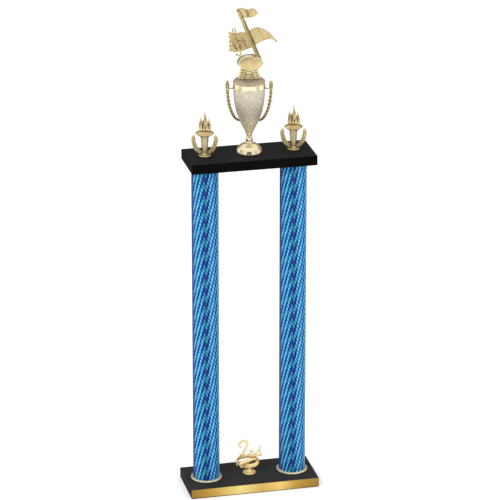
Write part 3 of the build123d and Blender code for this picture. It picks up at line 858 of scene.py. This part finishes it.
def laurel_branch(side):
    """Branch of overlapping leaves that curves up beside the torch and ends in three points."""
    stalk = []
    for k in range(41):
        angle = math.pi / 2 * k / 40
        stalk.append(Vector((side * (4.8 + 16.0 * math.sin(angle)), 0, 34.5 - 26.5 * math.cos(angle))))
    shapes = [tube(stalk, lambda t: 2.3 - 0.4 * t, sides=14)]
    for k in range(3, 38, 4):
        here, ahead = stalk[k], (stalk[k + 1] - stalk[k]).normalized()
        across = Vector((ahead.z, 0, -ahead.x)) * side
        for lean in (-1, 0, 1):
            for face in (-1, 1):
                root = here + across * (lean * 0.7)
                tip = here + ahead * (6.4 if lean == 0 else 5.4) + across * (lean * 3.7)
                root.y, tip.y = face * 0.8, face * 1.7
                shapes.append(leaf(root, tip, 3.5, 1.7, (0, face, 0)))
    top = stalk[-1]
    for lean, long in ((-2.8, 6.0), (0, 8.6), (2.8, 5.8)):
        shapes.append(leaf(top - Vector((0, 0, 1)), top + Vector((lean, 0, long - 1)), 3.4, 2.4))
    return shapes


def torch(side):
    """One moulding: foot, body, dish, flame and both branches."""
    node = f"torch_{side}"
    place = facing(axis_x(f"torch_{side}_insert"), DECK_TOP)
    shapes = torch_body() + [torch_dish()] + torch_flame() + laurel_branch(-1) + laurel_branch(1)
    piece(f"torch_{side}_panels", torch_panels(), place, node, PANEL_GOLD, [])
    piece(f"torch_{side}_casting", shapes, place, node, TORCH_GOLD, [node], sharp=28)


torch("left")
torch("right")


# ---- music figure ----

FIGURE = facing(0, FIGURE_SEAT)
PEDESTAL_TOP = 16.4
HEAD_CENTRE = Vector((1.4, 0, 29.9))
HEAD_HALF = (23.1, 14.6)
HEAD_SPIN = math.radians(10)
STEM_FOOT = Vector((20.2, 0, 31.7))
STEM_HEAD = Vector((-19.8, 0, 129.7))
STEM_ALONG = (STEM_HEAD - STEM_FOOT).normalized()
STEM_ACROSS = Vector((STEM_ALONG.z, 0, -STEM_ALONG.x))
STEM_WIDTH = 7.0
SCROLL_BACK = STEM_WIDTH / 2 + 1.2


def figure_piece(name, shapes, material, replaced, sharp=35):
    """One piece of the figure, in the figure's own millimetres."""
    piece(name, shapes, FIGURE, "figure", material, replaced, sharp=sharp)


def pedestal():
    """Tapered pedestal with a moulded foot and top."""
    points = []
    rings = [
        (0, 17.0, 8.8), (1.4, 17.2, 8.9), (2.2, 14.6, 8.2), (13.6, 10.4, 7.2), (14.4, 13.0, 7.6),
        (PEDESTAL_TOP, 13.2, 7.6),
    ]
    for up, half, deep in rings:
        for right, back in CORNERS:
            points.append(Vector((right * half, back * deep, up)))
    figure_piece("pedestal_casting", [skin(points, 4)], PEDESTAL_GOLD, ["figure_pedestal"])


def pedestal_shells():
    """Polished shells down both sides of the pedestal, with a plaque, a fleur and a scroll in front; their
    cream gold is partly polish and partly a painted highlight.
    """
    shapes = []
    for side in (-1, 1):
        for tier in range(4):
            up = 2.4 + 4.0 * tier
            right = side * (16.6 - 1.3 * tier)
            deep = 6.4 - 0.3 * tier
            for back in (-deep, 0, deep):
                shapes.append(ball((right, back, up), (4.2, 3.4, 1.6), 10, 14))
            shapes.append(ball((right - side * 3.4, -deep - 1.8, up - 0.4), (2.6, 1.2, 1.5), 8, 12))
    shapes.append(ball((0, -8.2, 12.6), (5.4, 1.6, 2.4), 10, 20))
    shapes.append(ball((0, -8.6, 1.9), (7.4, 1.6, 1.3), 10, 20))
    for right, up, wide, tall in ((0, 6.0, 1.6, 3.4), (-3.2, 4.6, 1.3, 2.0), (3.2, 4.6, 1.3, 2.0)):
        shapes.append(ball((right, -8.2, up), (wide, 1.4, tall), 8, 12))
    figure_piece("pedestal_shells", shapes, SHELL_HIGHLIGHT_GOLD, [])


def head_shape(outline):
    """Turned outline stretched to the note head's oval and stood upright."""
    points, faces = lathe(outline, 128)
    spin = Matrix.Rotation(HEAD_SPIN, 4, "Z")
    placed = []
    for p in points:
        r = math.hypot(p.x, p.y)
        widen = r ** -0.6 if r > 0 else 0
        spot = Vector((p.x * widen * HEAD_HALF[0], p.z, p.y * HEAD_HALF[1]))
        placed.append(HEAD_CENTRE + spin @ spot)
    return placed, faces


def note_head_wall():
    """Polished wall around the note head, with rounded edges; its pale gold is partly polish and partly a
    painted highlight.
    """
    outline = [
        (0.84, -8.5), (0.86, -9.0), (0.89, -8.9), (0.93, -8.1), (0.955, -6.8), (0.97, -5.4),
        (1.0, 3.0), (1.0, 7.0), (0.98, 8.4), (0.95, 9.0), (0.93, 8.9), (0.90, 8.4),
    ]
    figure_piece("note_head_wall", [head_shape(outline)], WALL_HIGHLIGHT_GOLD, [])


def stem_prism(section, stations):
    """Straight bar along the stem: (right, back) section points at distances from the stem's foot."""
    points = []
    for s in stations:
        for right, back in section:
            points.append(STEM_FOOT + STEM_ALONG * s + STEM_ACROSS * right + Vector((0, back, 0)))
    return skin(points, len(section))


def stem_bar():
    """Bar that leans left, its right side cut away towards the back, with a twist of beads in front."""
    section = [
        (-3.5, -3.0), (-3.0, -3.5), (0.5, -3.5), (1.0, -3.2), (3.5, 2.9), (3.2, 3.5), (-3.0, 3.5),
        (-3.5, 3.0),
    ]
    shapes = [stem_prism(section, (-7.0, 0.0, 25.0, 50.0, 75.0, (STEM_HEAD - STEM_FOOT).length))]
    reach = STEM_ALONG * 2.2 + STEM_ACROSS * 1.2
    for k in range(18):
        centre = STEM_FOOT + STEM_ALONG * (2 + 3.9 * k) + STEM_ACROSS * -1.2 + Vector((0, -3.8, 0))
        shapes.append(leaf(centre - reach, centre + reach, 2.6, 2.8))
    return shapes


def stem_shade_edge():
    """Right edge of the stem, from the note head up to the flag, in a dark gold that is painted shade."""
    section = [(1.5, -2.6), (3.0, -0.4), (3.9, 1.4), (3.9, 3.2), (3.0, 3.2), (1.5, 1.0)]
    figure_piece("note_stem_edge", [stem_prism(section, (3.0, 40.0, 84.0))], STEM_SHADE_GOLD, [])


def note_flag():
    """Waving pennant with a slanted fold across its middle."""
    top = smooth_path([(-23.4, 130.3), (-16, 134.0), (-3, 131.5), (8, 133.3), (17.2, 124.4)], 60)
    bottom = smooth_path([(-15.4, 113.8), (-8, 115.2), (-2, 116.0), (9, 117.8), (17.2, 123.9)], 60)

    def wave(right, v):
        return 1.7 * math.sin((right + 24) / 41 * 2 * math.pi * 1.15) * min(1, (right + 24) / 12)

    def fold(u, v):
        valley = math.exp(-(((u - 0.54 + 0.08 * v) / 0.05) ** 2))
        hem = math.exp(-(((u - 0.80 + 0.05 * v) / 0.05) ** 2))
        return 0.9 * hem - 2.8 * valley

    return sheet(top, bottom, wave, 20, 2.8, fold)


def music_note():
    """Note head, stem and flag cast in one; the face of the head is slightly domed."""
    face = [
        (0, -9.4), (0.4, -9.3), (0.75, -8.9), (0.87, -8.4), (0.92, -6.0), (0.92, 8.6), (0.75, 8.9),
        (0.4, 9.1), (0, 9.2),
    ]
    shapes = [head_shape(face)] + stem_bar() + [note_flag()]
    figure_piece("note_casting", shapes, FIGURE_GOLD, ["music_note"])


def scroll_plan(right, v=0.0):
    """Back position of the scroll: flat behind the stem, curling away at both ends."""
    if right < -30:
        return SCROLL_BACK + (-30 - right) ** 2 * 0.03
    if right > 22:
        return SCROLL_BACK + (right - 22) ** 2 * 0.0075
    return SCROLL_BACK


def music_scroll():
    """Sheet of music: staff ribs and a toothed edge on the left, a smooth curling end on the right."""
    left_top = [(-36.4, 85.6), (-24, 84.5), (-16, 86.6), (-8, 86.4)]
    right_top = [(12.8, 95.7), (26.3, 92.6), (37.4, 84.8), (52.0, 66.6)]
    left_low = [(-35.2, 50.6), (-24.5, 49), (-12.2, 51.5), (5, 58.4)]
    right_low = [(22.2, 69), (35.3, 73.3), (42, 72), (51.4, 64.9)]
    top = smooth_path(left_top + right_top, 140)
    bottom = smooth_path(left_low + right_low, 140)

    def relief(u, v):
        staff = 0.0
        if u < 0.50:
            staff = 0.6 * max(0, math.cos(v * 2 * math.pi * 8)) ** 2
        seam = 0.8 * math.exp(-(((u - 0.645 + 0.05 * v) / 0.008) ** 2))
        hem = 0.35 if v > 0.97 or v < 0.03 else 0
        return staff + hem - seam

    shapes = [sheet(top, bottom, scroll_plan, 90, 2.2, relief)]
    for k in range(5):
        up = 51.6 + 8.4 * k
        back = scroll_plan(-35)
        shapes.append(leaf((-33.4, back, up - 0.6), (-38.6, back, up + 0.6), 5.0, 2.2))
    for k in range(7):
        low = Vector((-11.2 + 1.25 * k, SCROLL_BACK - 1.5, 75.0 - 3.2 * k))
        shapes.append(leaf(low, low + Vector((-1.6, 0, 2.8)), 2.0, 1.6))
    figure_piece("scroll_casting", shapes, FIGURE_GOLD, ["sheet_music_scroll"])


def treble_clef():
    """Round-wire clef: a swirl, a tall loop and a tail that ends in a ball."""
    back = 1.2
    swirl = [
        (-20.3, 62.2), (-21.3, 66.3), (-17.6, 68.7), (-12.8, 66.1), (-11.6, 59.1), (-15.3, 53.4),
        (-22.3, 52.3), (-29.3, 57.7), (-32.2, 66.7), (-30.3, 74.1), (-26.3, 81.1), (-24.7, 87.1),
        (-26.4, 93.1), (-29, 94.6),
    ]
    tail = [
        (-29, 94.6), (-30.2, 90.1), (-27.8, 79.6), (-23.3, 66.6), (-18.3, 54.6), (-15.4, 47.4),
        (-16.4, 43.4), (-19.4, 42.2), (-22.8, 43.8),
    ]

    def swell(t):
        return 1.25 + 0.65 * math.sin(math.pi * t) ** 2

    shapes = [
        tube(in_plane(swirl, 150, back), swell, sides=18),
        tube(in_plane(tail, 110, back), swell, sides=18),
        ball((-23, back, 44.6), (2.4, 1.9, 2.4)),
        ball((-20.3, back, 62.0), (2.1, 1.7, 2.1)),
    ]
    for k in range(4):
        low = Vector((-25.0 + 3.0 * k, back + 0.6, 56.4 + 0.6 * k))
        high = low + Vector((-1.6, 0, 8.6 - 1.0 * abs(k - 1)))
        shapes.append(leaf(low, high, 1.6, 1.7))
    figure_piece("clef_casting", shapes, FIGURE_GOLD, ["treble_clef"], sharp=40)


pedestal()
pedestal_shells()
note_head_wall()
stem_shade_edge()
music_note()
music_scroll()
treble_clef()


# ---- place trim ----

TRIM = facing(0, BASE_TOP)
NECK_TOP = 11.5


def trim_piece(name, shapes, node, sharp=35):
    """One piece of the place trim, in the trim's own millimetres."""
    piece(name, shapes, TRIM, "place_trim", TRIM_GOLD, [node], sharp=sharp)


def trim_foot():
    """Flat round foot with a rolled edge, and a waisted neck."""
    outline = [
        (0, 0), (12.0, 0), (12.5, 0.5), (12.6, 1.4), (12.2, 2.4), (11.4, 2.8), (10.4, 2.6),
        (8.6, 2.4), (6.6, 2.8), (5.4, 3.6), (4.5, 5.0), (3.9, 6.8), (3.5, 9.0), (4.2, NECK_TOP),
        (0, NECK_TOP),
    ]
    trim_piece("trim_foot_button", [lathe(outline, 96)], "place_trim_foot", sharp=50)


def trim_ribbon():
    """Folded ribbon: a broad band in front of a loop, with a fishtail at the lower left."""
    band_top = [(-19.6, 21.4), (-12, 25.1), (-5.1, 27.7), (2.4, 30), (10.4, 31.6), (14.6, 31.2)]
    band_low = [(-15.6, 11.4), (-9.4, 14.6), (-3.6, 18.2), (1.3, 21.9), (7.0, 25.4), (12.6, 26.9)]
    strap_top = [(-25.0, 25.0), (-24.0, 29.4), (-20.4, 32.8), (-14, 33.8), (0, 33.8), (13.8, 33.6)]
    strap_low = [(-20.6, 24.0), (-20.0, 26.0), (-17.2, 27.3), (-12, 28.7), (-3, 30.4), (11.8, 30.4)]
    bend_out = [(12.6, 33.7), (16.4, 31.4), (18.4, 26), (17.7, 19.6), (13.8, 15.2)]
    bend_in = [(9.8, 27.4), (12.4, 27.2), (13.1, 25.4), (12.8, 22.4), (10.8, 20.4)]
    loop_out = smooth_path(bend_out + [(7.7, 12.4), (-0.3, 11.2), (-8.3, 11.4), (-14.4, 12)], 70)
    loop_in = smooth_path(bend_in + [(6.6, 18.6), (1.4, 17.4), (-4.4, 16.4), (-11, 14.2)], 70)
    fold_left = smooth_path([(-25.0, 27), (-25.1, 21.7), (-24.6, 17.6), (-23.6, 14.4)], 20)
    fold_right = smooth_path([(-20.6, 26.2), (-20.4, 22.6), (-20.4, 18.6), (-22.2, 14.8)], 20)

    def in_front(right, v):
        return -1.9 + 0.5 * math.cos((right - 4) / 18) - 0.8 * math.sin(math.pi * v)

    def behind(right, v):
        return 0.9 - 0.8 * v

    def dished(right, v):
        return 1.2 - 2.2 * v ** 2

    def folded(right, v):
        return -0.6 - 0.9 * v

    rim = [Vector((p.x, -1.6, p.y)) for p in loop_out]
    shapes = [
        sheet(smooth_path(band_top, 50), smooth_path(band_low, 50), in_front, 12, 1.5),
        sheet(smooth_path(strap_top, 50), smooth_path(strap_low, 50), behind, 6, 1.7),
        sheet(loop_out, loop_in, dished, 14, 1.7),
        sheet(fold_left, fold_right, folded, 6, 1.8),
        tube(rim, 0.8, sides=12),
        leaf((-12.8, -1.5, 15.8), (-17.3, -1.6, 9.4), 5.4, 2.2),
        leaf((-19.0, -1.6, 20.4), (-17.0, -1.6, 12.0), 3.4, 2.0),
    ]
    trim_piece("ribbon_casting", shapes, "place_trim_ribbon")


def trim_numeral():
    """Generic script two with a small ordinal ending on a flourished baseline."""
    two = [
        (-16.8, 54.2), (-19.4, 57), (-17.6, 62), (-13.4, 65.6), (-8.2, 67), (-4.6, 65),
        (-3.4, 60.8), (-5.2, 54.2), (-9.4, 46), (-14.4, 38), (-19.4, 33.8),
    ]
    baseline = [(-15.4, 36.4), (-8.6, 37.6), (-1.4, 36.2), (8, 35.4), (24.6, 37)]
    arch = [(2.6, 42.2), (4.0, 45.0), (5.6, 45.8), (7.6, 44.8), (8.3, 41.6), (8.3, 36.4)]
    bowl = [(19.8, 48.2), (15.6, 45.8), (13.0, 41.6), (12.6, 36.8)]

    def two_swell(t):
        return 1.8 + 0.55 * math.sin(math.pi * min(1, t * 1.05)) ** 1.2

    def line_swell(t):
        return 2.15 - 0.35 * t + 0.2 * math.sin(6 * math.pi * t)

    shapes = [
        tube(in_plane(two, 140), two_swell, sides=18, flat=0.75),
        tube(in_plane(baseline, 90), line_swell, sides=18, flat=0.8),
        tube(in_plane([(2.4, 36.5), (2.5, 42), (2.4, 46.4)], 20), 1.6, sides=14),
        tube(in_plane(arch, 50), 1.5, sides=14),
        tube(in_plane([(20, 36.8), (20, 48), (20, 57.0)], 20), 1.8, sides=14),
        tube(in_plane(bowl, 50), 1.55, sides=14),
        ball((-16.6, 0, 54.2), (2.3, 1.5, 2.1)),
        ball((20, 0, 56.6), (1.8, 1.5, 1.6)),
        ball((-1.2, -1.0, 38.6), (1.5, 1.0, 1.3)),
        ball((-13.6, -1.1, 37.6), (2.6, 1.2, 2.4)),
        leaf((-16.8, -1.3, 34.4), (-9.0, -1.3, 35.6), 2.0, 1.6),
    ]
    trim_piece("numeral_casting", shapes, "place_trim_numeral", sharp=40)


trim_foot()
trim_ribbon()
trim_numeral()


# ---- floor, light and camera ----

CAMERA_AZIMUTH = math.radians(-13.26)
CAMERA_ELEVATION = math.radians(20.84)
CAMERA_DISTANCE = 6.0  # metres
CAMERA_TARGET = Vector((0.00154, 0, 0.4778))
CAMERA_LENS = 230.1
FLOOR_REACH = 6.0  # metres each way
CARD_STEPS = 24  # faces along a card's curve


def floor():
    """Plain pale floor beside the object."""
    mesh = bpy.data.meshes.new("floor")
    corners = [(x * FLOOR_REACH, y * FLOOR_REACH, 0) for x, y in CORNERS]
    mesh.from_pydata(corners, [], [(0, 1, 2, 3)])
    made = new_object("floor", mesh)
    m = Nodes("floor")
    m.set("Base Color", (0.99, 0.99, 0.99, 1))
    m.drive("Roughness", m.span(m.noise(m.position(), 3, 2), 0.75, 0.85))
    mesh.materials.append(m.material)


def soft_light(name, place, target, size, power):
    """Square area light in metres, aimed at a point."""
    data = bpy.data.lights.new(name, "AREA")
    data.size = size
    data.energy = power
    made = new_object(name, data)
    made.location = place
    made.rotation_euler = (Vector(target) - Vector(place)).to_track_quat("-Z", "Y").to_euler()
    made.visible_glossy = False


def reflected_card(name, glow, radius, start, end, low, high):
    """Upright curved card that glows faintly and only reflections show.

    start and end are degrees around from the camera's side; radius, low and high are metres.
    """
    mesh = bpy.data.meshes.new(name)
    points = []
    for k in range(CARD_STEPS + 1):
        angle = CAMERA_AZIMUTH + math.radians(start + (end - start) * k / CARD_STEPS)
        for up in (low, high):
            points.append((radius * math.sin(angle), -radius * math.cos(angle), up))
    faces = [(2 * k, 2 * k + 2, 2 * k + 3, 2 * k + 1) for k in range(CARD_STEPS)]
    mesh.from_pydata(points, [], faces)
    made = new_object(name, mesh)
    m = Nodes(name)
    m.set("Base Color", (0.01, 0.01, 0.01, 1))
    m.set("Specular IOR Level", 0.0)
    m.set("Emission Color", (1.0, 0.95, 0.88, 1))
    m.set("Emission Strength", glow)
    m.drive("Roughness", m.span(m.noise(m.position(), 4, 2), 0.8, 1.0))
    mesh.materials.append(m.material)
    made.visible_camera = False
    made.visible_diffuse = False
    made.visible_shadow = False
    made.visible_transmission = False


def studio():
    """Pale world, two soft lights, four cards for the reflections and the colour transform."""
    world = bpy.data.worlds.new("studio")
    world.use_nodes = True
    background = world.node_tree.nodes["Background"]
    background.inputs["Color"].default_value = (1, 1, 1, 1)
    background.inputs["Strength"].default_value = 1.08
    scene = bpy.context.scene
    scene.world = world
    scene.view_settings.view_transform = "Standard"
    soft_light("key", (-2.2, -2.6, 2.6), (0, 0, 0.5), 1.2, 60)
    soft_light("fill", (2.8, -1.6, 1.6), (0, 0, 0.5), 1.6, 25)
    reflected_card("card_behind", 0.22, 1.3, 130, 230, 0.0, 1.5)
    reflected_card("card_left", 0.7, 1.6, -80, -52, 0.0, 1.7)
    reflected_card("card_right", 0.7, 1.6, 52, 80, 0.0, 1.7)
    reflected_card("card_in_front", 0.01, 1.2, -22, 22, 0.66, 1.45)


def camera():
    """Camera at the viewer's angle, slightly above and to the left."""
    a, e = CAMERA_AZIMUTH, CAMERA_ELEVATION
    back = Vector((math.sin(a) * math.cos(e), -math.cos(a) * math.cos(e), math.sin(e)))
    data = bpy.data.cameras.new("camera")
    data.lens = CAMERA_LENS
    data.clip_end = 50
    made = new_object("camera", data)
    made.location = CAMERA_TARGET + back * CAMERA_DISTANCE
    made.rotation_mode = "QUATERNION"
    made.rotation_quaternion = (-back).to_track_quat("-Z", "Y")
    bpy.context.scene.camera = made


floor()
studio()
camera()
